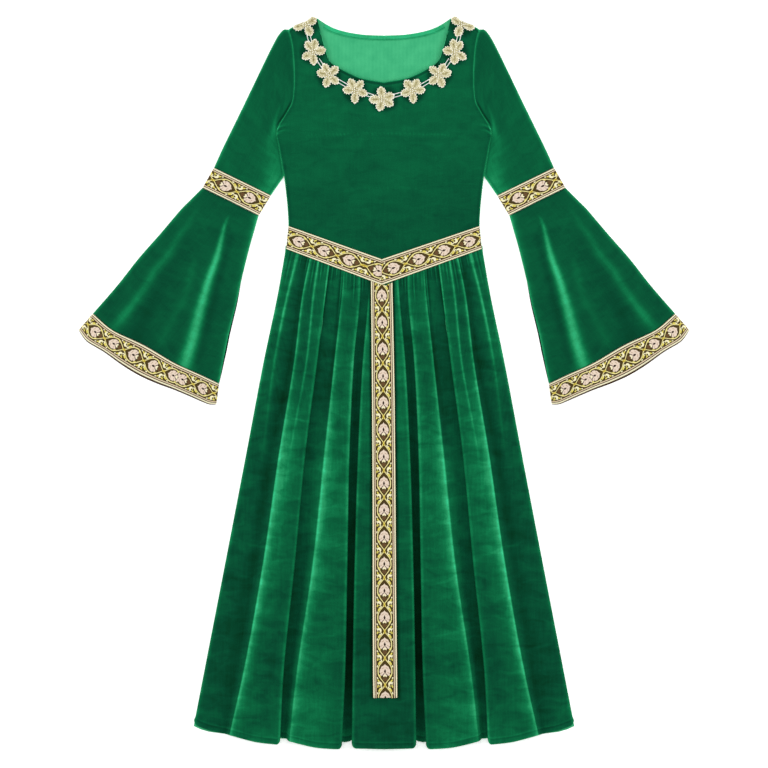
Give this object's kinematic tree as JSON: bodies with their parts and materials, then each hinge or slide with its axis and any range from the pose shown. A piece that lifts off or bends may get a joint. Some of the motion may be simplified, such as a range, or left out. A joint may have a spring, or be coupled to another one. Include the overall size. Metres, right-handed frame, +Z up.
{
  "type": "medieval dress",
  "caption": "Child's long green velvet costume dress laid flat: bell sleeves, woven ribbon belt with hanging tail, gathered skirt and a beaded flower neckline.",
  "frame": {"origin": "on the surface it lies on, under the middle of the laid-out dress", "axes": "+Z up from the surface, +Y from hem to neck, +X to the picture's right"},
  "size_m": [0.838, 1.0036, 0.0173],
  "materials": {
    "green_velvet": "deep green stretch velvet, soft sheen, lighter knit back",
    "jacquard_ribbon": "woven jacquard, cream, gold and dark brown",
    "beaded_crochet": "cream and gold crochet with small pearl beads",
    "flower_cord": "fine twisted cream cord"
  },
  "bodies": {
    "root": {"bodice_front": "green_velvet", "bodice_back": "green_velvet", "back_neck_hem": "green_velvet", "upper_sleeve_left": "green_velvet", "armband_left": "jacquard_ribbon", "bell_sleeve_left": "green_velvet", "cuff_band_left": "jacquard_ribbon", "upper_sleeve_right": "green_velvet", "armband_right": "jacquard_ribbon", "bell_sleeve_right": "green_velvet", "cuff_band_right": "jacquard_ribbon", "belt": "jacquard_ribbon", "belt_tail": "jacquard_ribbon", "skirt_front": "green_velvet", "skirt_back": "green_velvet", "flower_1": "beaded_crochet", "flower_2": "beaded_crochet", "flower_3": "beaded_crochet", "flower_4": "beaded_crochet", "flower_5": "beaded_crochet", "flower_6": "beaded_crochet", "flower_7": "beaded_crochet", "flower_8": "beaded_crochet", "flower_9": "beaded_crochet", "flower_cord_1a": "flower_cord", "flower_cord_1b": "flower_cord", "flower_cord_2a": "flower_cord", "flower_cord_2b": "flower_cord", "flower_cord_3a": "flower_cord", "flower_cord_3b": "flower_cord", "flower_cord_4a": "flower_cord", "flower_cord_4b": "flower_cord", "flower_cord_5a": "flower_cord", "flower_cord_5b": "flower_cord", "flower_cord_6a": "flower_cord", "flower_cord_6b": "flower_cord", "flower_cord_7a": "flower_cord", "flower_cord_7b": "flower_cord", "flower_cord_8a": "flower_cord", "flower_cord_8b": "flower_cord"}
  },
  "joints": []
}
